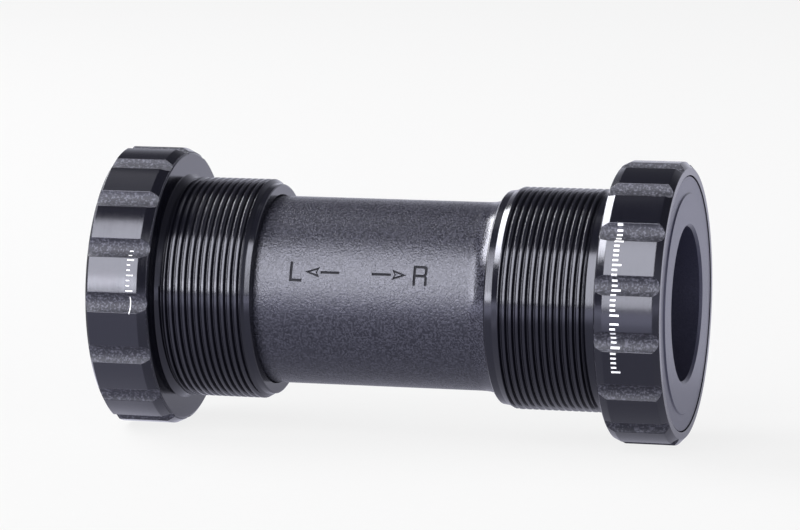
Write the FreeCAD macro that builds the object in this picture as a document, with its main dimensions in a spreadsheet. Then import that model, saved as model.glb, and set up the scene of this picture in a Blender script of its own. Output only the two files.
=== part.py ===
import FreeCAD, Part
import math
import os

import Sketcher

# External-cup bottom bracket for a 24 mm two-piece crank spindle.
#
# The frame: X runs along the spindle with +X to the right (drive) side, +Z is up,
# and the origin is on the spindle axis at mid-length. Each turned piece is a half
# profile in its own XY plane, with sketch x as the distance outboard along the
# spindle and sketch y as the radius, revolved about X. The left side's pieces are
# the same profiles turned half a turn about Z. A turn keeps the hand of a thread,
# so each cup states its own.

# Driving dimensions, in millimetres, degrees or plain counts.
SIZES = {
    # cup head
    "rim_face": 45.5,
    "head_radius": 22.0,
    "flange_face": 35.35,
    "flange_edge_radius": 21.0,
    "inner_chamfer_start": 35.6,
    "inner_chamfer_radius": 21.4,
    "inner_chamfer_end": 36.85,
    "right_outer_chamfer_start": 44.57,
    "right_rim_radius": 21.05,
    "left_outer_chamfer_start": 44.9,
    "left_rim_radius": 21.1,
    "cap_seat_radius": 19.95,
    "notch_count": 16,
    "notch_cutter_radius": 1.78,
    "notch_root_radius": 21.05,
    "notch_start": 34.6,
    "notch_end": 46.1,
    # cup thread, 1.37 inch by 24 to the inch
    "thread_radius": 17.4,
    "thread_root_radius": 16.85,
    "threads_per_inch": 24,
    "groove_mouth": 0.68,
    "groove_floor": 0.14,
    "cutter_overreach": 0.2,
    "neck_radius": 16.95,
    "neck_slope": 0.4,
    "neck_fillet": 0.9,
    "right_bore_radius": 15.1,
    "left_bore_radius": 14.92,
    "bore_lead_in": 0.12,
    # each cup's nose: its end, an edge, a long shallow cone and the thread's start
    "right_inner_end": 17.1,
    "right_end_radius": 16.45,
    "right_nose_start": 17.35,
    "right_nose_radius": 16.74,
    "right_nose_end": 18.5,
    "right_nose_top": 16.9,
    "right_thread_start": 19.5,
    "right_thread_end": 32.75,
    "right_first_groove": 19.4,
    "left_inner_end": 20.1,
    "left_end_radius": 16.42,
    "left_nose_start": 20.22,
    "left_nose_radius": 16.64,
    "left_nose_end": 21.08,
    "left_nose_top": 16.76,
    "left_thread_start": 21.6,
    "left_thread_end": 34.0,
    "left_first_groove": 20.75,
    # O-rings, drawn at their squeezed size, and their glands
    "left_cord_radius": 0.6,
    "left_ring_place": 23.4,
    "left_ring_bore_radius": 14.82,
    "left_gland_radius": 16.05,
    "left_gland_width": 1.5,
    "right_cord_radius": 0.66,
    "right_ring_place": 20.8,
    "right_gland_radius": 13.75,
    "right_gland_width": 1.7,
    # centre sleeve
    "sleeve_radius": 14.8,
    "sleeve_bore_radius": 13.0,
    "sleeve_left_end": 30.0,
    "sleeve_edge": 0.5,
    "flare_start": 13.8,
    "flare_end": 16.95,
    "flare_radius": 15.45,
    "spigot_radius": 15.05,
    "sleeve_right_end": 24.6,
    "mark_depth": 0.24,
    "mark_angle": 19.0,
    # sealed ball bearing, 25 by 37 by 7
    "bearing_shoulder": 37.0,
    "bearing_width": 7.0,
    "bearing_bore_radius": 12.5,
    "bearing_outer_radius": 18.5,
    "bearing_seat_gap": 0.01,
    "ring_edge": 0.3,
    "inner_land_radius": 14.1,
    "outer_land_radius": 16.9,
    "ball_count": 20,
    "ball_radius": 1.75,
    "pitch_radius": 15.5,
    "race_clearance": 0.03,
    "race_groove_radius": 1.85,
    "cage_inner_radius": 14.75,
    "cage_outer_radius": 16.25,
    "cage_width": 4.4,
    "cage_pocket_radius": 1.85,
    "seal_inner_radius": 14.2,
    "seal_outer_radius": 17.3,
    "seal_inset": 0.2,
    "seal_thickness": 0.7,
    "seal_gap": 0.02,
    # dust cap: a flange, a raised inner disc and a tube that lines the bearing
    "cap_bore_radius": 12.02,
    "cap_tube_radius": 12.48,
    "cap_tube_end": 36.8,
    "cap_flange_radius": 19.85,
    "cap_flange_back": 44.3,
    "cap_flange_face": 45.38,
    "cap_face": 45.6,
    "cap_disc_radius": 17.26,
    "cap_disc_slope": 0.2,
    "cap_mouth_chamfer": 0.42,
    "cap_edge": 0.15,
    # lip seal behind the dust cap's flange
    "lip_inner_radius": 17.75,
    "lip_outer_radius": 18.85,
    "lip_back": 44.16,
    "lip_tip": 44.06,
    "lip_tip_radius": 18.3,
}

NOTCH_PHASE = {"right": 8.2, "left": 0.0}
LEFT_HANDED = {"right": True, "left": False}
SIDE_TURN = {"right": 0, "left": 180}

doc = FreeCAD.newDocument("bottom_bracket")
sheet = doc.addObject("Spreadsheet::Sheet", "sizes")
for row, (alias, number) in enumerate(SIZES.items(), start=1):
    sheet.set(f"A{row}", alias)
    sheet.set(f"B{row}", str(number))
    sheet.setAlias(f"B{row}", alias)
doc.recompute()


class Size:
    """A length that knows its number and its expression in the sheet's aliases."""

    def __init__(self, number, text):
        self.number = number
        self.text = text

    def __add__(self, other):
        other = size(other)
        return Size(self.number + other.number, f"({self.text} + {other.text})")

    def __sub__(self, other):
        other = size(other)
        return Size(self.number - other.number, f"({self.text} - {other.text})")

    def __mul__(self, other):
        other = size(other)
        return Size(self.number * other.number, f"({self.text} * {other.text})")

    def __truediv__(self, other):
        other = size(other)
        return Size(self.number / other.number, f"({self.text} / {other.text})")

    def __neg__(self):
        return Size(-self.number, f"(-{self.text})")


def size(source):
    """A Size from a Size, from the alias of a cell, or from a plain number."""
    if isinstance(source, Size):
        return source
    if isinstance(source, str):
        return Size(SIZES[source], f"sizes.{source}")
    return Size(source, str(source))


def add(first, second):
    return size(first) + size(second)


def less(first, second):
    return size(first) - size(second)


# ---- sketches and features -------------------------------------------------------


def origin_feature(body, role):
    return next(item for item in body.Origin.OriginFeatures if item.Role == role)


def new_body(label, side="right"):
    body = doc.addObject("PartDesign::Body", label)
    body.Label = label
    turn = FreeCAD.Rotation(FreeCAD.Vector(0, 0, 1), SIDE_TURN[side])
    body.Placement = FreeCAD.Placement(FreeCAD.Vector(0, 0, 0), turn)
    return body


def new_sketch(body, name, plane="XY_Plane"):
    sketch = body.newObject("Sketcher::SketchObject", name)
    sketch.AttachmentSupport = [(origin_feature(body, plane), "")]
    sketch.MapMode = "FlatFace"
    return sketch


def bind(sketch, constraint, name, text):
    index = sketch.addConstraint(constraint)
    sketch.renameConstraint(index, name)
    sketch.setExpression(f".Constraints.{name}", text)


def pin_point(sketch, edge, end, name, across, up):
    """Bind one end of a sketch edge to its distances from the sketch's origin."""
    for kind, place in (("DistanceX", across), ("DistanceY", up)):
        label = f"{name}_{kind[-1].lower()}"
        if place.number < 0:
            rule = Sketcher.Constraint(kind, edge, end, -1, 1, -place.number)
            bind(sketch, rule, label, (-place).text)
        else:
            rule = Sketcher.Constraint(kind, -1, 1, edge, end, place.number)
            bind(sketch, rule, label, place.text)


def tangent_arc(start, end):
    """The arc that leaves start along +x and reaches end, as a Part geometry."""
    rise = end.y - start.y
    radius = ((end.x - start.x) ** 2 + rise**2) / (2 * rise)
    centre = FreeCAD.Vector(start.x, start.y + radius, 0)
    half_sweep = math.atan2(end.x - start.x, radius - rise) / 2
    middle = centre + radius * FreeCAD.Vector(math.sin(half_sweep), -math.cos(half_sweep), 0)
    return Part.Arc(start, middle, end)


def outline(sketch, name, corners, arc_after=None):
    """Close a loop through corners, each a pair of sizes. The edge after corner
    number arc_after is an arc tangent to the edge before it."""
    corners = [(size(across), size(up)) for across, up in corners]
    points = [FreeCAD.Vector(across.number, up.number, 0) for across, up in corners]
    first = sketch.GeometryCount
    for number, start in enumerate(points):
        end = points[(number + 1) % len(points)]
        edge = tangent_arc(start, end) if number == arc_after else Part.LineSegment(start, end)
        sketch.addGeometry(edge, False)
    last = first + len(points) - 1
    for number in range(len(points)):
        edge = first + number
        following = edge + 1 if edge < last else first
        joint = "Tangent" if number + 1 == arc_after else "Coincident"
        sketch.addConstraint(Sketcher.Constraint(joint, edge, 2, following, 1))
        pin_point(sketch, edge, 1, f"{name}{number}", *corners[number])


def circle(sketch, name, across, up, radius):
    across, up, radius = size(across), size(up), size(radius)
    centre = FreeCAD.Vector(across.number, up.number, 0)
    edge = sketch.addGeometry(
        Part.Circle(centre, FreeCAD.Vector(0, 0, 1), radius.number), False
    )
    pin_point(sketch, edge, 3, name, across, up)
    bind(sketch, Sketcher.Constraint("Radius", edge, radius.number), f"{name}_radius", radius.text)


def turn_about_x(body, kind, name, sketch):
    """A Revolution or a Groove of a sketch, all the way round the X axis."""
    feature = body.newObject(f"PartDesign::{kind}", name)
    feature.Profile = sketch
    feature.ReferenceAxis = (origin_feature(body, "X_Axis"), [""])
    feature.Angle = 360
    doc.recompute()
    return feature


def revolved(label, side, corners, arc_after=None):
    body = new_body(label, side)
    profile = new_sketch(body, f"{label}_profile")
    outline(profile, "corner", corners, arc_after)
    turn_about_x(body, "Revolution", f"{label}_turned", profile)
    return body


def must_cut(body, before, what):
    """Stop if the last feature took no material away."""
    if not body.Shape.Volume < before - 1e-6:
        raise RuntimeError(f"{body.Label}: {what} cut nothing")


def groove(body, name, corners):
    before = body.Shape.Volume
    profile = new_sketch(body, f"{name}_profile")
    outline(profile, "corner", corners)
    turn_about_x(body, "Groove", name, profile)
    must_cut(body, before, name)


def race_groove(body, name, middle, centre_radius):
    before = body.Shape.Volume
    profile = new_sketch(body, f"{name}_profile")
    circle(profile, "race", middle, centre_radius, "race_groove_radius")
    turn_about_x(body, "Groove", name, profile)
    must_cut(body, before, name)


def repeat_about_x(body, feature, name, count):
    pattern = body.newObject("PartDesign::PolarPattern", name)
    pattern.Originals = [feature]
    pattern.Axis = (origin_feature(body, "X_Axis"), [""])
    pattern.Angle = 360
    pattern.setExpression("Occurrences", size(count).text)
    body.Tip = pattern
    doc.recompute()


# ---- the cups --------------------------------------------------------------------


def cup_corners(side):
    """Half profile of a cup: nose, thread blank, neck, head and stepped bore."""
    thread_end = size(f"{side}_thread_end")
    inner_end = size(f"{side}_inner_end")
    return [
        (inner_end, add(f"{side}_bore_radius", "bore_lead_in")),
        (inner_end, f"{side}_end_radius"),
        (f"{side}_nose_start", f"{side}_nose_radius"),
        (f"{side}_nose_end", f"{side}_nose_top"),
        (f"{side}_thread_start", "thread_radius"),
        (thread_end, "thread_radius"),
        (add(thread_end, "neck_slope"), "neck_radius"),
        (less("flange_face", "neck_fillet"), "neck_radius"),
        ("flange_face", add("neck_radius", "neck_fillet")),
        ("flange_face", "flange_edge_radius"),
        ("inner_chamfer_start", "inner_chamfer_radius"),
        ("inner_chamfer_end", "head_radius"),
        (f"{side}_outer_chamfer_start", "head_radius"),
        ("rim_face", f"{side}_rim_radius"),
        ("rim_face", "cap_seat_radius"),
        (add("bearing_shoulder", "bearing_width"), "cap_seat_radius"),
        (
            add("bearing_shoulder", "bearing_width"),
            add("bearing_outer_radius", "bearing_seat_gap"),
        ),
        ("bearing_shoulder", add("bearing_outer_radius", "bearing_seat_gap")),
        ("bearing_shoulder", f"{side}_bore_radius"),
        (add(inner_end, "bore_lead_in"), f"{side}_bore_radius"),
    ]


def cut_thread(body, side):
    """Cut the helical groove, from the nose's cone to where the neck begins."""
    before = body.Shape.Volume
    pitch = size(25.4) / size("threads_per_inch")
    reach = size("thread_radius") + size("cutter_overreach")
    depth = less("thread_radius", "thread_root_radius")
    # the flanks run on past the crest, so the mouth widens with the overreach
    widening = (less("groove_mouth", "groove_floor") / depth) * "cutter_overreach"
    half_mouth = (size("groove_mouth") + widening) / 2
    half_floor = size("groove_floor") / 2
    start = size(f"{side}_first_groove")
    tooth = new_sketch(body, f"{side}_thread_tooth")
    outline(
        tooth,
        "tooth",
        [
            (start - half_floor, "thread_root_radius"),
            (start + half_floor, "thread_root_radius"),
            (start + half_mouth, reach),
            (start - half_mouth, reach),
        ],
    )
    doc.recompute()
    helix = body.newObject("PartDesign::SubtractiveHelix", f"{side}_thread")
    helix.Profile = tooth
    helix.ReferenceAxis = (origin_feature(body, "X_Axis"), [""])
    helix.Mode = 0
    helix.LeftHanded = LEFT_HANDED[side]
    helix.setExpression("Pitch", pitch.text)
    helix.setExpression("Height", (size(f"{side}_thread_end") - start + pitch / 2).text)
    doc.recompute()
    must_cut(body, before, "thread")


def cut_notches(body, side):
    """Mill the spanner notches, which run out through the head's two chamfers."""
    before = body.Shape.Volume
    phase = FreeCAD.Rotation(FreeCAD.Vector(0, 0, 1), NOTCH_PHASE[side])
    sketch = new_sketch(body, f"{side}_notch_profile", "YZ_Plane")
    start = size("notch_start")
    sketch.AttachmentOffset = FreeCAD.Placement(FreeCAD.Vector(0, 0, start.number), phase)
    sketch.setExpression("AttachmentOffset.Base.z", start.text)
    circle(
        sketch,
        "cutter",
        -add("notch_root_radius", "notch_cutter_radius"),
        0,
        "notch_cutter_radius",
    )
    doc.recompute()
    notch = body.newObject("PartDesign::Pocket", f"{side}_notch")
    notch.Profile = sketch
    notch.Type = 0
    notch.Reversed = True
    notch.setExpression("Length", less("notch_end", "notch_start").text)
    doc.recompute()
    must_cut(body, before, "notch")
    one_notch = before - body.Shape.Volume
    repeat_about_x(body, notch, f"{side}_notches", "notch_count")
    cut = before - body.Shape.Volume
    if abs(cut / one_notch - SIZES["notch_count"]) > 0.01:
        raise RuntimeError(f"{body.Label}: {cut / one_notch:.2f} notches were cut")


def make_cup(side):
    body = revolved(f"{side}_cup", side, cup_corners(side))
    if side == "left":
        middle = size("left_ring_place")
        half_width = size("left_gland_width") / 2
        groove(
            body,
            "left_ring_gland",
            [
                (middle - half_width, less("left_bore_radius", "bore_lead_in")),
                (middle + half_width, less("left_bore_radius", "bore_lead_in")),
                (middle + half_width, "left_gland_radius"),
                (middle - half_width, "left_gland_radius"),
            ],
        )
    cut_notches(body, side)
    cut_thread(body, side)
    return body


# ---- the centre sleeve -----------------------------------------------------------


def letter_l(left, stroke, width, height):
    """An L, standing on the line half its height below the middle."""
    low = -height / 2
    return [
        [
            (left, low),
            (left + width, low),
            (left + width, low + stroke),
            (left + stroke, low + stroke),
            (left + stroke, -low),
            (left, -low),
        ]
    ]


def letter_r(left, stroke, width, height):
    """An R with upright legs: an outer loop, and the loop of its bowl."""
    low = -height / 2
    right = left + width
    bar = low + 0.42 * height
    nick = 0.2
    corner = 0.3
    outer = [
        (left, low),
        (left + stroke, low),
        (left + stroke, bar),
        (right - stroke, bar),
        (right - stroke, low),
        (right, low),
        (right, bar),
        (right - nick, bar + stroke / 2),
        (right, bar + stroke + nick / 2),
        (right, -low - corner),
        (right - corner, -low),
        (left, -low),
    ]
    bowl = [
        (left + stroke, bar + stroke),
        (right - stroke - nick, bar + stroke),
        (right - stroke, bar + stroke + nick),
        (right - stroke, -low - stroke - nick),
        (right - stroke - nick, -low - stroke),
        (left + stroke, -low - stroke),
    ]
    return [outer, bowl]


def arrow(tip, tail, half_tail, head_length, half_head):
    """A hollow barbed arrowhead and a solid tail, pointing from tail to tip."""
    way = 1 if tip > tail else -1
    gap = 0.12
    barb = tip - way * head_length
    notch = barb + way * 0.45
    head = [(tip, 0), (barb, half_head), (notch, 0), (barb, -half_head)]
    hollow = [
        (tip - way * 0.85, 0),
        (barb + way * 0.42, 0.42 * half_head),
        (notch + way * 0.25, 0),
        (barb + way * 0.42, -0.42 * half_head),
    ]
    shoulder = barb - way * gap
    shaft = [(tail, -half_tail), (shoulder, -half_tail), (shoulder, half_tail), (tail, half_tail)]
    return [head, hollow, shaft]


def engrave(body, name, loops):
    """Cut one side mark into the sleeve's front, down to a flat floor."""
    before = body.Shape.Volume
    floor = less("sleeve_radius", "mark_depth")
    sketch = new_sketch(body, f"{name}_outline", "XZ_Plane")
    tilt = FreeCAD.Rotation(FreeCAD.Vector(1, 0, 0), -SIZES["mark_angle"])
    sketch.AttachmentOffset = FreeCAD.Placement(
        tilt.multVec(FreeCAD.Vector(0, 0, floor.number)), tilt
    )
    for number, loop in enumerate(loops):
        outline(sketch, f"loop{number}_", loop)
    doc.recompute()
    pocket = body.newObject("PartDesign::Pocket", name)
    pocket.Profile = sketch
    pocket.Type = 0
    pocket.Reversed = True
    pocket.setExpression("Length", (size("mark_depth") * 2).text)
    doc.recompute()
    must_cut(body, before, name)


def make_sleeve():
    """A tube with a flared right end, a spigot that enters the right cup, and
    left and right marks."""
    left_end = -size("sleeve_left_end")
    right_end = size("sleeve_right_end")
    edge = size("sleeve_edge")
    body = revolved(
        "centre_sleeve",
        "right",
        [
            (left_end, "sleeve_bore_radius"),
            (left_end, less("sleeve_radius", edge)),
            (left_end + edge, "sleeve_radius"),
            ("flare_start", "sleeve_radius"),
            ("flare_end", "flare_radius"),
            ("flare_end", "spigot_radius"),
            (right_end - edge, "spigot_radius"),
            (right_end, less("spigot_radius", edge)),
            (right_end, "sleeve_bore_radius"),
        ],
        arc_after=3,
    )
    middle = size("right_ring_place")
    half_width = size("right_gland_width") / 2
    groove(
        body,
        "right_ring_gland",
        [
            (middle - half_width, "right_gland_radius"),
            (middle + half_width, "right_gland_radius"),
            (middle + half_width, add("spigot_radius", 1)),
            (middle - half_width, add("spigot_radius", 1)),
        ],
    )
    engrave(body, "mark_left", letter_l(-14.4, 0.44, 2.0, 3.15))
    engrave(body, "mark_left_arrow", arrow(-11.95, -6.4, 0.2, 2.4, 0.84))
    engrave(body, "mark_right_arrow", arrow(4.4, -1.2, 0.2, 2.4, 0.84))
    engrave(body, "mark_right", letter_r(5.4, 0.42, 2.25, 3.15))
    return body


def make_o_ring(side):
    """A round rubber ring about the spindle axis."""
    label = f"{side}_sleeve_o_ring"
    ring = doc.addObject("Part::Torus", label)
    ring.Label = label
    cord = size(f"{side}_cord_radius")
    if side == "left":
        middle = add("left_ring_bore_radius", cord)
        place = -size("left_ring_place")
    else:
        middle = add("right_gland_radius", cord)
        place = size("right_ring_place")
    ring.setExpression("Radius1", middle.text)
    ring.setExpression("Radius2", cord.text)
    ring.Placement = FreeCAD.Placement(
        FreeCAD.Vector(0, 0, 0), FreeCAD.Rotation(FreeCAD.Vector(0, 1, 0), 90)
    )
    ring.setExpression("Placement.Base.x", place.text)
    return ring


# ---- the bearings ----------------------------------------------------------------


def bearing_middle():
    return size("bearing_shoulder") + size("bearing_width") / 2


def make_outer_ring(side):
    """The bearing's outer ring, with a seat at each face for a seal."""
    near = size("bearing_shoulder")
    far = near + size("bearing_width")
    edge = size("ring_edge")
    seat_depth = add("seal_inset", "seal_thickness") + size("seal_gap") * 2
    seat_radius = add("seal_outer_radius", "seal_gap")
    outer = size("bearing_outer_radius")
    body = revolved(
        f"{side}_bearing_outer_ring",
        side,
        [
            (near, seat_radius),
            (near, outer - edge),
            (near + edge, outer),
            (far - edge, outer),
            (far, outer - edge),
            (far, seat_radius),
            (far - seat_depth, seat_radius),
            (far - seat_depth, "outer_land_radius"),
            (near + seat_depth, "outer_land_radius"),
            (near + seat_depth, seat_radius),
        ],
    )
    bottom = add("pitch_radius", "ball_radius") + "race_clearance"
    centre = bottom - size("race_groove_radius")
    race_groove(body, f"{side}_outer_race", bearing_middle(), centre)
    return body


def make_inner_ring(side):
    near = size("bearing_shoulder")
    far = near + size("bearing_width")
    edge = size("ring_edge")
    bore = size("bearing_bore_radius")
    body = revolved(
        f"{side}_bearing_inner_ring",
        side,
        [
            (near, bore + edge),
            (near, "inner_land_radius"),
            (far, "inner_land_radius"),
            (far, bore + edge),
            (far - edge, bore),
            (near + edge, bore),
        ],
    )
    bottom = less("pitch_radius", "ball_radius") - size("race_clearance")
    centre = bottom + size("race_groove_radius")
    race_groove(body, f"{side}_inner_race", bearing_middle(), centre)
    return body


def make_balls(side):
    """The ring of balls, one solid each, under one label."""
    balls = []
    sign = 1 if side == "right" else -1
    place = bearing_middle() * sign
    for number in range(SIZES["ball_count"]):
        angle = 2 * math.pi * number / SIZES["ball_count"]
        ball = doc.addObject("Part::Sphere", f"{side}_ball_{number + 1}")
        ball.setExpression("Radius", size("ball_radius").text)
        ball.setExpression("Placement.Base.x", place.text)
        for axis, share in (("y", math.cos(angle)), ("z", math.sin(angle))):
            ball.setExpression(f"Placement.Base.{axis}", (size("pitch_radius") * share).text)
        balls.append(ball)
    group = doc.addObject("Part::Compound", f"{side}_bearing_balls")
    group.Label = f"{side}_bearing_balls"
    group.Links = balls
    return group


def make_cage(side):
    """A plain ring with a round pocket through it for each ball."""
    half_width = size("cage_width") / 2
    middle = bearing_middle()
    body = revolved(
        f"{side}_bearing_cage",
        side,
        [
            (middle - half_width, "cage_inner_radius"),
            (middle + half_width, "cage_inner_radius"),
            (middle + half_width, "cage_outer_radius"),
            (middle - half_width, "cage_outer_radius"),
        ],
    )
    before = body.Shape.Volume
    sketch = new_sketch(body, f"{side}_ball_pocket_outline", "XZ_Plane")
    circle(sketch, "pocket", middle, 0, "cage_pocket_radius")
    doc.recompute()
    pocket = body.newObject("PartDesign::Pocket", f"{side}_ball_pocket")
    pocket.Profile = sketch
    pocket.Type = 0
    pocket.Reversed = True
    pocket.setExpression("Length", add("cage_outer_radius", 1).text)
    doc.recompute()
    must_cut(body, before, "ball pocket")
    one_pocket = before - body.Shape.Volume
    repeat_about_x(body, pocket, f"{side}_ball_pockets", "ball_count")
    cut = before - body.Shape.Volume
    if abs(cut / one_pocket - SIZES["ball_count"]) > 0.01:
        raise RuntimeError(f"{body.Label}: {cut / one_pocket:.2f} pockets were cut")
    return body


def make_seal(side, face):
    """A rubber shield set into the outer ring, its lip just off the inner ring."""
    if face == "outer":
        far = size("bearing_shoulder") + "bearing_width" - size("seal_inset")
        near = far - size("seal_thickness")
    else:
        near = add("bearing_shoulder", "seal_inset")
        far = near + size("seal_thickness")
    return revolved(
        f"{side}_bearing_{face}_seal",
        side,
        [
            (near, "seal_inner_radius"),
            (far, "seal_inner_radius"),
            (far, "seal_outer_radius"),
            (near, "seal_outer_radius"),
        ],
    )


# ---- the dust caps ---------------------------------------------------------------


def make_dust_cap(side):
    mouth = size("cap_mouth_chamfer")
    edge = size("cap_edge")
    face = size("cap_face")
    flange = size("cap_flange_face")
    return revolved(
        f"{side}_dust_cap",
        side,
        [
            ("cap_tube_end", "cap_bore_radius"),
            (face - mouth, "cap_bore_radius"),
            (face, add("cap_bore_radius", mouth)),
            (face, less("cap_disc_radius", "cap_disc_slope")),
            (flange, "cap_disc_radius"),
            (flange, less("cap_flange_radius", edge)),
            (flange - edge, "cap_flange_radius"),
            ("cap_flange_back", "cap_flange_radius"),
            ("cap_flange_back", "cap_tube_radius"),
            (add("cap_tube_end", edge), "cap_tube_radius"),
            ("cap_tube_end", less("cap_tube_radius", edge)),
        ],
    )


def make_lip_seal(side):
    """The rubber lip on the flange's back, which wipes the bearing's face."""
    return revolved(
        f"{side}_dust_cap_lip_seal",
        side,
        [
            ("cap_flange_back", "lip_inner_radius"),
            ("lip_back", "lip_inner_radius"),
            ("lip_tip", "lip_tip_radius"),
            ("lip_back", "lip_outer_radius"),
            ("cap_flange_back", "lip_outer_radius"),
        ],
    )


# ---- build, check and write --------------------------------------------------------

parts = [make_sleeve()]
for side in ("right", "left"):
    parts += [
        make_cup(side),
        make_o_ring(side),
        make_outer_ring(side),
        make_inner_ring(side),
        make_balls(side),
        make_cage(side),
        make_seal(side, "outer"),
        make_seal(side, "inner"),
        make_dust_cap(side),
        make_lip_seal(side),
    ]
doc.recompute()

for item in doc.Objects:
    if "Invalid" in item.State or "Error" in item.State:
        raise RuntimeError(f"{item.Name} is in the state {item.State}")
for part in parts:
    if part.Shape.isNull() or not part.Shape.isValid():
        raise RuntimeError(f"{part.Label} has no valid shape")

os.makedirs("parts", exist_ok=True)
for part in parts:
    part.Shape.exportStep(f"parts/{part.Label}.step")
    print(f"{part.Label}: {len(part.Shape.Solids)} solid(s), {part.Shape.Volume:.2f} mm3")
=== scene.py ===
import math

import bpy
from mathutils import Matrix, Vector


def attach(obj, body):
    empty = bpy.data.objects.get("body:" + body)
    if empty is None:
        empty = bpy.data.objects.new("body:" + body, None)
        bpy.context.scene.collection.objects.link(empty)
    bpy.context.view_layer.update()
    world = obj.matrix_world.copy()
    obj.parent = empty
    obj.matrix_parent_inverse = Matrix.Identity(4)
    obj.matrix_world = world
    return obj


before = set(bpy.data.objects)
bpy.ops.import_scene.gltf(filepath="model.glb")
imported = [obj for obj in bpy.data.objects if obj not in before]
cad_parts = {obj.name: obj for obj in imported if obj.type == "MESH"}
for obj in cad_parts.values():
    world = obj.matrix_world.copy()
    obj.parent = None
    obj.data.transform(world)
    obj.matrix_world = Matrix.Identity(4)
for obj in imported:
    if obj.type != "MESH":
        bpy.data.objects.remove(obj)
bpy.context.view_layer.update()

MM = 0.001

# ---- camera ------------------------------------------------------------------------

CAMERA_AZIMUTH = math.radians(15.09)
CAMERA_ELEVATION = math.radians(7.52)
CAMERA_DISTANCE = 668.6 * MM
CAMERA_TARGET = Vector((-0.45, 0.0, 4.48)) * MM
CAMERA_SENSOR = 36.0
CAMERA_LENS = 191.0


def link(thing):
    bpy.context.scene.collection.objects.link(thing)
    return thing


def aim(thing, place, target):
    """Put a camera or a light at place, looking at target."""
    thing.location = place
    thing.rotation_mode = "QUATERNION"
    thing.rotation_quaternion = (Vector(target) - Vector(place)).to_track_quat("-Z", "Y")


def make_camera():
    data = bpy.data.cameras.new("camera")
    data.sensor_width = CAMERA_SENSOR
    data.lens = CAMERA_LENS
    data.clip_start = 0.01
    data.clip_end = 20.0
    camera = link(bpy.data.objects.new("camera", data))
    back = Vector(
        (
            math.sin(CAMERA_AZIMUTH) * math.cos(CAMERA_ELEVATION),
            -math.cos(CAMERA_AZIMUTH) * math.cos(CAMERA_ELEVATION),
            math.sin(CAMERA_ELEVATION),
        )
    )
    aim(camera, CAMERA_TARGET + back * CAMERA_DISTANCE, CAMERA_TARGET)
    bpy.context.scene.camera = camera


# ---- materials ---------------------------------------------------------------------


# the faint blue of the light that the black surfaces send back
COOL = (0.86, 0.87, 1.0)


class Net:
    """A node tree, with one line for each node that is added."""

    def __init__(self, tree):
        self.tree = tree

    def put(self, socket, value):
        if isinstance(value, bpy.types.NodeSocket):
            self.tree.links.new(value, socket)
        elif isinstance(value, tuple) and len(value) == 3 and socket.type == "RGBA":
            socket.default_value = (*value, 1.0)
        else:
            socket.default_value = value

    def node(self, kind, settings=None, **inputs):
        item = self.tree.nodes.new(kind)
        for key, value in (settings or {}).items():
            setattr(item, key, value)
        for key, value in inputs.items():
            self.put(item.inputs[key.replace("_", " ")], value)
        return item

    def math(self, operation, first, second=0.0, third=0.0):
        item = self.tree.nodes.new("ShaderNodeMath")
        item.operation = operation
        for socket, value in zip(item.inputs, (first, second, third)):
            self.put(socket, value)
        return item.outputs[0]

    def place(self):
        """The point in the object's own frame, in metres, as a vector and apart."""
        point = self.node("ShaderNodeTexCoord").outputs["Object"]
        apart = self.node("ShaderNodeSeparateXYZ", Vector=point)
        return point, apart.outputs[0], apart.outputs[1], apart.outputs[2]

    def step(self, value, low, high):
        """0 below low, 1 above high and smooth between; high may be the lower one."""
        item = self.node(
            "ShaderNodeMapRange",
            {"interpolation_type": "SMOOTHSTEP"},
            Value=value,
            From_Min=min(low, high),
            From_Max=max(low, high),
            To_Min=0.0 if low < high else 1.0,
            To_Max=1.0 if low < high else 0.0,
        )
        return item.outputs["Result"]

    def edge(self, value, span):
        """step over a span in mm."""
        low, high = span
        return self.step(value, low * MM, high * MM)

    def spread(self, value, low, high, start=0.0, end=1.0):
        """value carried linearly from start..end to low..high."""
        item = self.node(
            "ShaderNodeMapRange", Value=value, From_Min=start, From_Max=end, To_Min=low, To_Max=high
        )
        return item.outputs["Result"]

    def noise(self, vector, scale, detail=2.0, rough=0.5):
        item = self.node(
            "ShaderNodeTexNoise", Vector=vector, Scale=scale, Detail=detail, Roughness=rough
        )
        return item.outputs["Fac"]

    def mix(self, share, first, second):
        item = self.node("ShaderNodeMix", {"data_type": "RGBA"})
        self.put(item.inputs["Factor"], share)
        self.put(item.inputs[6], first)
        self.put(item.inputs[7], second)
        return item.outputs[2]

    def blend(self, share, first, second):
        item = self.node("ShaderNodeMix")
        self.put(item.inputs["Factor"], share)
        self.put(item.inputs[2], first)
        self.put(item.inputs[3], second)
        return item.outputs[0]

    def radius(self, across, up):
        up_squared = self.math("MULTIPLY", up, up)
        return self.math("SQRT", self.math("MULTIPLY_ADD", across, across, up_squared))

    def product(self, first, *others):
        for other in others:
            first = self.math("MULTIPLY", first, other)
        return first

    def bump(self, height, distance, strength=1.0, normal=None):
        item = self.node("ShaderNodeBump", Height=height, Distance=distance, Strength=strength)
        if normal is not None:
            self.put(item.inputs["Normal"], normal)
        return item.outputs["Normal"]


class Surface(Net):
    """A material's net, round its one Principled shader."""

    def __init__(self, name):
        self.material = bpy.data.materials.new(name)
        self.material.use_nodes = True
        super().__init__(self.material.node_tree)
        self.shader = self.tree.nodes["Principled BSDF"]

    def set(self, **inputs):
        for key, value in inputs.items():
            self.put(self.shader.inputs[key.replace("_", " ")], value)


def turned_lines(net, along, across, up, scale):
    """Noise drawn out round the X axis, as a lathe tool leaves it."""
    angle = net.math("ARCTAN2", up, across)
    stretched = net.node(
        "ShaderNodeCombineXYZ",
        X=net.math("MULTIPLY", along, scale),
        Y=net.math("MULTIPLY", angle, 1.5),
        Z=0.0,
    ).outputs[0]
    return net.noise(stretched, 1.0, 3.0, 0.6)


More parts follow.
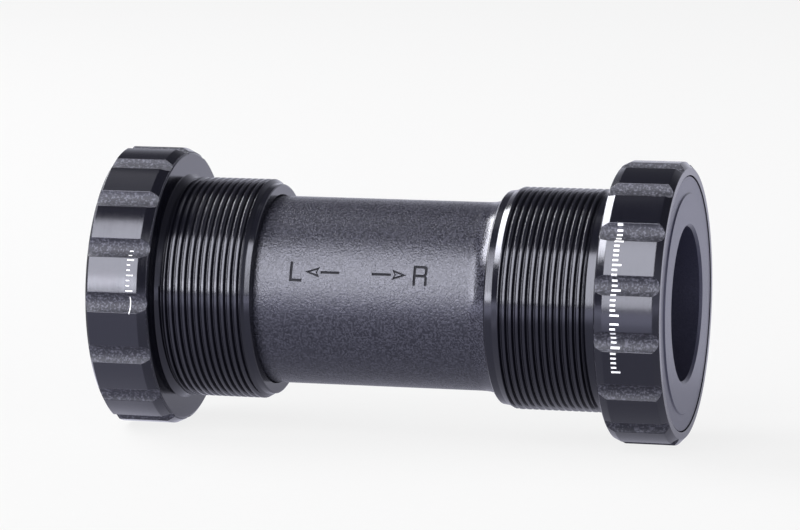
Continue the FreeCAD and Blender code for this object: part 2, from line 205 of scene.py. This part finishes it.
# the cups' heads, in mm; a cone is the distance outboard where it starts, its radius there
# and its slope
HEAD_RADIUS = 22.0
INNER_CHAMFER = (35.6, 21.4, 0.48)
RIGHT_RIM = (44.57, HEAD_RADIUS, -1.022)
LEFT_RIM = (44.9, HEAD_RADIUS, -1.5)
# where the head's inner and outer faces end it, and radii just under the notches' floor
INNER_FACE = (35.45, 35.55)
OUTER_FACE = (45.48, 45.44)
UNDER_NOTCHES = (20.6, 20.7)
# the sleeve's side marks: just under its surface, just under their floor, and their run in X
MARK_TOP = (14.765, 14.735)
MARK_FLOOR = (14.3, 14.4)
MARK_LEFT_END = (-15.5, -15.2)
MARK_RIGHT_END = (8.2, 7.9)


def cone(net, outboard, start, radius, slope):
    """The radius of a cone at each point's distance outboard."""
    past = net.math("SUBTRACT", outboard, start * MM)
    return net.math("MULTIPLY_ADD", past, slope, radius * MM)


def notch_mask(net, along, radius):
    """1 in the spanner notches, where the surface lies below the head's round outline."""
    outboard = net.math("ABSOLUTE", along)
    inner_chamfer = cone(net, outboard, *INNER_CHAMFER)
    on_right = net.edge(along, (-1.0, 1.0))
    rim = net.blend(on_right, cone(net, outboard, *LEFT_RIM), cone(net, outboard, *RIGHT_RIM))
    outline = net.math("MINIMUM", HEAD_RADIUS * MM, net.math("MINIMUM", inner_chamfer, rim))
    below = net.math("SUBTRACT", outline, radius)
    return net.product(
        net.edge(below, (0.02, 0.07)),
        net.edge(outboard, INNER_FACE),
        net.edge(outboard, OUTER_FACE),
        net.edge(radius, UNDER_NOTCHES),
    )


def cup_material():
    """Gloss black anodised aluminium, turned, with blasted spanner notches."""
    net = Surface("cup_anodised")
    point, along, across, up = net.place()
    notch = notch_mask(net, along, net.radius(across, up))
    lines = turned_lines(net, along, across, up, 14000.0)
    grain = net.noise(point, 2800.0, 2.0, 0.6)
    blotch = net.noise(point, 900.0, 3.0, 0.6)
    specks = net.step(grain, 0.45, 0.7)
    blasted = net.mix(specks, (0.006, 0.006, 0.009), (0.074, 0.074, 0.092))
    turned = net.mix(lines, (0.002, 0.002, 0.004), (0.005, 0.005, 0.008))
    net.set(Base_Color=net.mix(notch, turned, blasted))
    smooth = net.math("ADD", net.spread(lines, 0.10, 0.22), net.spread(blotch, -0.03, 0.03))
    net.set(Roughness=net.blend(notch, smooth, net.spread(grain, 0.48, 0.68)))
    softened = net.node("ShaderNodeBevel", {"samples": 6}, Radius=0.15 * MM).outputs[0]
    height = net.math(
        "ADD",
        net.math("MULTIPLY", grain, net.blend(notch, 0.03, 1.0)),
        net.math("MULTIPLY", lines, net.blend(notch, 0.22, 0.0)),
    )
    net.set(Normal=net.bump(height, 0.05 * MM, 0.8, softened), IOR=1.52, Specular_Tint=COOL)
    return net.material


def sleeve_material():
    """Moulded black plastic with a fine sparkle, dark side marks and a glossier right flare."""
    net = Surface("sleeve_plastic")
    point, along, across, up = net.place()
    radius = net.radius(across, up)
    grain = net.noise(point, 3600.0, 2.0, 0.55)
    coarse = net.noise(point, 700.0, 3.0, 0.55)
    sunk = net.product(
        net.edge(radius, MARK_TOP),
        net.edge(radius, MARK_FLOOR),
        net.edge(along, MARK_LEFT_END),
        net.edge(along, MARK_RIGHT_END),
    )
    sparkle = net.step(grain, 0.42, 0.62)
    tone = net.mix(sparkle, (0.007, 0.007, 0.011), (0.037, 0.037, 0.049))
    net.set(Base_Color=net.mix(sunk, tone, (0.002, 0.002, 0.003)))
    flare = net.edge(along, (14.0, 15.2))
    rough = net.math("ADD", net.spread(grain, 0.34, 0.20), net.spread(coarse, -0.03, 0.03))
    rough = net.blend(flare, rough, net.spread(grain, 0.14, 0.22))
    net.set(Roughness=net.blend(sunk, rough, 0.8), IOR=1.52, Specular_Tint=COOL)
    height = net.math("ADD", grain, net.math("MULTIPLY", coarse, 0.6))
    height = net.math("MULTIPLY", height, net.blend(flare, 1.0, 0.3))
    net.set(Normal=net.bump(height, 0.07 * MM, 1.0))
    return net.material


def cap_material():
    """Satin black moulded plastic, with faint rings round the axis."""
    net = Surface("cap_plastic")
    point, _, across, up = net.place()
    radius = net.radius(across, up)
    grain = net.noise(point, 4200.0, 3.0, 0.6)
    rings = turned_lines(net, radius, across, up, 9000.0)
    tone = net.mix(grain, (0.010, 0.010, 0.022), (0.062, 0.062, 0.094))
    net.set(Base_Color=tone, IOR=1.55, Specular_Tint=COOL)
    uneven = net.math("MULTIPLY", net.math("ADD", grain, rings), 0.5)
    net.set(Roughness=net.spread(uneven, 0.22, 0.42))
    net.set(Normal=net.bump(grain, 0.03 * MM, 0.8))
    return net.material


def plain_material(name, dark, light, rough, metallic=0.0, scale=3000.0, depth=0.01):
    """A moulded, polished or painted surface: two tones, a fine bump and uneven roughness."""
    net = Surface(name)
    point = net.place()[0]
    grain = net.noise(point, scale, 3.0, 0.6)
    net.set(Base_Color=net.mix(grain, dark, light), Metallic=metallic)
    net.set(Roughness=net.spread(grain, rough - 0.06, rough + 0.06))
    net.set(Normal=net.bump(grain, depth * MM, 0.7))
    return net.material


def ring_material():
    """Ground bearing steel, with its lines round the axis."""
    net = Surface("bearing_steel")
    _, along, across, up = net.place()
    lines = turned_lines(net, along, across, up, 12000.0)
    net.set(Base_Color=net.mix(lines, (0.46, 0.46, 0.47), (0.62, 0.62, 0.63)), Metallic=1.0)
    net.set(Roughness=net.spread(lines, 0.18, 0.34))
    net.set(Normal=net.bump(lines, 0.01 * MM, 0.6))
    return net.material


materials = {
    "cup_anodised": cup_material(),
    "sleeve_plastic": sleeve_material(),
    "cap_plastic": cap_material(),
    "bearing_steel": ring_material(),
    "ball_steel": plain_material(
        "ball_steel",
        (0.68, 0.68, 0.69),
        (0.78, 0.78, 0.79),
        0.1,
        metallic=1.0,
        scale=900.0,
        depth=0.002,
    ),
    "cage_nylon": plain_material("cage_nylon", (0.55, 0.51, 0.41), (0.66, 0.62, 0.51), 0.5),
    "seal_rubber": plain_material("seal_rubber", (0.012, 0.012, 0.012), (0.03, 0.03, 0.03), 0.55),
    "mark_paint": plain_material(
        "mark_paint", (0.72, 0.72, 0.73), (0.92, 0.92, 0.93), 0.5, scale=2500.0, depth=0.004
    ),
}

# what a node's name ends with, and the material it takes; the first that fits counts
SLOT_OF_ENDING = {
    "o_ring": "seal_rubber",
    "seal": "seal_rubber",
    "centre_sleeve": "sleeve_plastic",
    "dust_cap": "cap_plastic",
    "cup": "cup_anodised",
    "ring": "bearing_steel",
    "balls": "ball_steel",
    "cage": "cage_nylon",
}


def slot_of(name):
    return next(slot for ending, slot in SLOT_OF_ENDING.items() if name.endswith(ending))


for name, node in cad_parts.items():
    node.data.materials.clear()
    node.data.materials.append(materials[slot_of(name)])

# ---- the white marks on the heads ------------------------------------------------------

# the notches: their spacing, and in mm the radii of their floor and of the round cutter
NOTCH_STEP = math.radians(22.5)
NOTCH_FLOOR = 21.05
NOTCH_CUTTER = 1.78
NOTCH_CENTRE = NOTCH_FLOOR + NOTCH_CUTTER
# the angle of one notch on each cup
RIGHT_PHASE = math.radians(-8.2)
LEFT_PHASE = 0.0
# how far the marks lie above the head in mm, and the angle between their points in degrees
MARK_LIFT = 0.012
MARK_FINENESS = 0.25


def head_radius_at(angle, phase):
    """The head's radius in mm at an angle round X from the front, notches included."""
    off = (angle - phase + NOTCH_STEP / 2) % NOTCH_STEP - NOTCH_STEP / 2
    sine = NOTCH_CENTRE * math.sin(off)
    if abs(sine) >= NOTCH_CUTTER:
        return HEAD_RADIUS
    return min(HEAD_RADIUS, NOTCH_CENTRE * math.cos(off) - math.sqrt(NOTCH_CUTTER**2 - sine**2))


def strip(vertices, faces, along, angles, phase):
    """Add a band between two x values over a run of angles, laid on the head."""
    low, high = along
    for number, angle in enumerate(angles):
        radius = head_radius_at(angle, phase) + MARK_LIFT
        for x in (low, high):
            vertices.append((x * MM, -radius * math.cos(angle) * MM, radius * math.sin(angle) * MM))
        if number:
            last = len(vertices) - 1
            faces.append((last - 3, last - 2, last, last - 1))


def make_marks(name, body, phase, bars):
    """One mesh of white bars: (x from, x to, angle from, angle to), in mm and degrees."""
    vertices, faces = [], []
    for x_from, x_to, angle_from, angle_to in bars:
        count = max(2, round(abs(angle_to - angle_from) / MARK_FINENESS) + 1)
        run = [
            math.radians(angle_from + (angle_to - angle_from) * n / (count - 1)) for n in range(count)
        ]
        strip(vertices, faces, (x_from, x_to), run, phase)
    mesh = bpy.data.meshes.new(name)
    mesh.from_pydata(vertices, [], faces)
    mesh.materials.append(materials["mark_paint"])
    marks = link(bpy.data.objects.new(name, mesh))
    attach(marks, body)


def scale_bars(along, angles, step, thick, pattern):
    """A scale of bars along X; pattern gives each bar's length as a share of the full one."""
    low, high = along
    angle, last = angles
    bars = []
    while angle <= last:
        share = pattern[len(bars) % len(pattern)]
        bars.append((low, low + (high - low) * share, angle - thick / 2, angle + thick / 2))
        angle += step
    return bars


def mark_heads():
    """A scale in two runs on the right head, and a finer one with a line on the left."""
    every_fifth = (1.0, 0.6, 0.6, 0.6, 0.6)
    right_span = (38.1, 39.5)
    right_bars = scale_bars(right_span, (-21.0, -1.0), 2.0, 0.8, every_fifth)
    right_bars += scale_bars(right_span, (2.5, 41.0), 2.0, 0.8, every_fifth)
    make_marks("right_head_scale", "right_cup_and_sleeve", RIGHT_PHASE, right_bars)
    every_third = (1.0, 0.5, 0.5)
    left_bars = scale_bars((-38.6, -37.5), (5.0, 22.0), 2.1, 0.42, every_third)
    line = (-38.15, -38.0, -4.5, 2.5)
    make_marks("left_head_scale", "left_cup", LEFT_PHASE, [*left_bars, line])


mark_heads()

# ---- studio --------------------------------------------------------------------------


def panel(name, direction, distance, width, height, radiance):
    """A soft light that faces the object from a direction, bright as its radiance."""
    data = bpy.data.lights.new(name, "AREA")
    data.shape = "RECTANGLE"
    data.size = width
    data.size_y = height
    data.energy = radiance * math.pi * width * height
    light = link(bpy.data.objects.new(name, data))
    aim(light, Vector(direction).normalized() * distance, (0.0, 0.0, 0.0))
    return light


# name, direction from the object, then distance, width and height in metres, and radiance
SOFTBOXES = (
    ("front_softbox", (-0.27, -0.826, 0.49), 1.0, 0.62, 1.03, 9.5),
    ("left_softbox", (-0.75, 0.15, 0.63), 1.1, 1.1, 0.42, 19.0),
    ("top_softbox", (-0.5, 0.25, 0.83), 1.0, 0.4, 0.75, 0.6),
    ("right_softbox", (0.7, -0.5, 0.5), 1.0, 0.5, 0.45, 3.2),
)
for softbox in SOFTBOXES:
    panel(*softbox)
# this one is small and close, so the camera is kept from seeing it
near_softbox = panel("near_left_softbox", (-0.42, -0.9, 0.125), 0.39, 0.06, 0.06, 8.0)
near_softbox.visible_camera = False

FLOOR_SIZE = 8.0
FLOOR_HEIGHT = -22.2 * MM


def make_floor():
    """Pale, nearly even paper to the camera; to other rays it glows unevenly, with a painted shadow
    under the object and painted glow round it, which the gloss of the object finds.
    """
    bpy.ops.mesh.primitive_plane_add(size=FLOOR_SIZE, location=(0, 0, FLOOR_HEIGHT))
    floor = bpy.context.object
    floor.name = "floor"
    net = Surface("floor_paper_painted_glow")
    point, along, across, _ = net.place()
    grain = net.noise(point, 300.0, 4.0, 0.6)
    net.set(Base_Color=net.mix(grain, (0.047, 0.047, 0.047), (0.053, 0.053, 0.053)), Roughness=0.9)
    # painted shadow under the object, in the glow other rays find: brightest below the left head,
    # dimmer below the sleeve and the right cup
    painted_shade_right = net.blend(net.step(along, 0.030, 0.038), 0.56, 0.60)
    painted_shade_under = net.blend(net.step(along, -0.042, -0.030), 1.05, painted_shade_right)
    in_painted_shade = net.product(net.step(across, -0.10, -0.07), net.step(across, 0.08, 0.05))
    # painted light: the floor glows bright in front, and is painted dark off to the left behind
    painted_glow_front = net.spread(across, 2.55, 0.95, -0.15, -0.09)
    felt = net.blend(in_painted_shade, painted_glow_front, painted_shade_under)
    painted_dark_far_left = net.product(net.step(along, -0.06, -0.10), net.step(across, 0.0, 0.03))
    felt = net.product(felt, net.blend(painted_dark_far_left, 1.0, 0.08))
    seen = net.spread(across, 0.832, 0.85, -0.08, 0.3)
    # other rays take the painted glow and painted shadow, the camera the even pale floor
    to_camera = net.node("ShaderNodeLightPath").outputs["Is Camera Ray"]
    net.set(
        Emission_Color=net.mix(to_camera, (0.92, 0.92, 1.10), (1.0, 1.0, 1.0)),
        Emission_Strength=net.blend(to_camera, felt, seen),
    )
    net.set(Specular_IOR_Level=0.0)
    floor.data.materials.append(net.material)


make_floor()


def make_world():
    """Pale to the camera. Other rays find it dark, but for a pale band low behind and right."""
    world = bpy.data.worlds.new("studio")
    bpy.context.scene.world = world
    world.use_nodes = True
    net = Net(world.node_tree)
    net.tree.nodes.clear()
    towards = net.node("ShaderNodeTexCoord").outputs["Generated"]
    towards = net.node("ShaderNodeSeparateXYZ", Vector=towards).outputs
    low = net.spread(towards["Z"], 1.0, 0.0, 0.12, 0.52)
    behind_and_right = net.math("MULTIPLY_ADD", towards["X"], 0.9, towards["Y"])
    band = net.spread(behind_and_right, 0.0, 0.9, -0.2, 0.6)
    strength = net.math("MULTIPLY_ADD", low, band, 0.12)
    felt = net.node("ShaderNodeBackground", Color=(0.96, 0.97, 1.12), Strength=strength)
    seen = net.node("ShaderNodeBackground", Color=(0.93, 0.93, 0.94))
    to_camera = net.node("ShaderNodeLightPath").outputs["Is Camera Ray"]
    mixer = net.node("ShaderNodeMixShader")
    for socket, value in zip(mixer.inputs, (to_camera, felt.outputs[0], seen.outputs[0])):
        net.put(socket, value)
    out = net.node("ShaderNodeOutputWorld")
    net.put(out.inputs["Surface"], mixer.outputs[0])


make_world()
make_camera()
bpy.context.scene.view_settings.view_transform = "Standard"
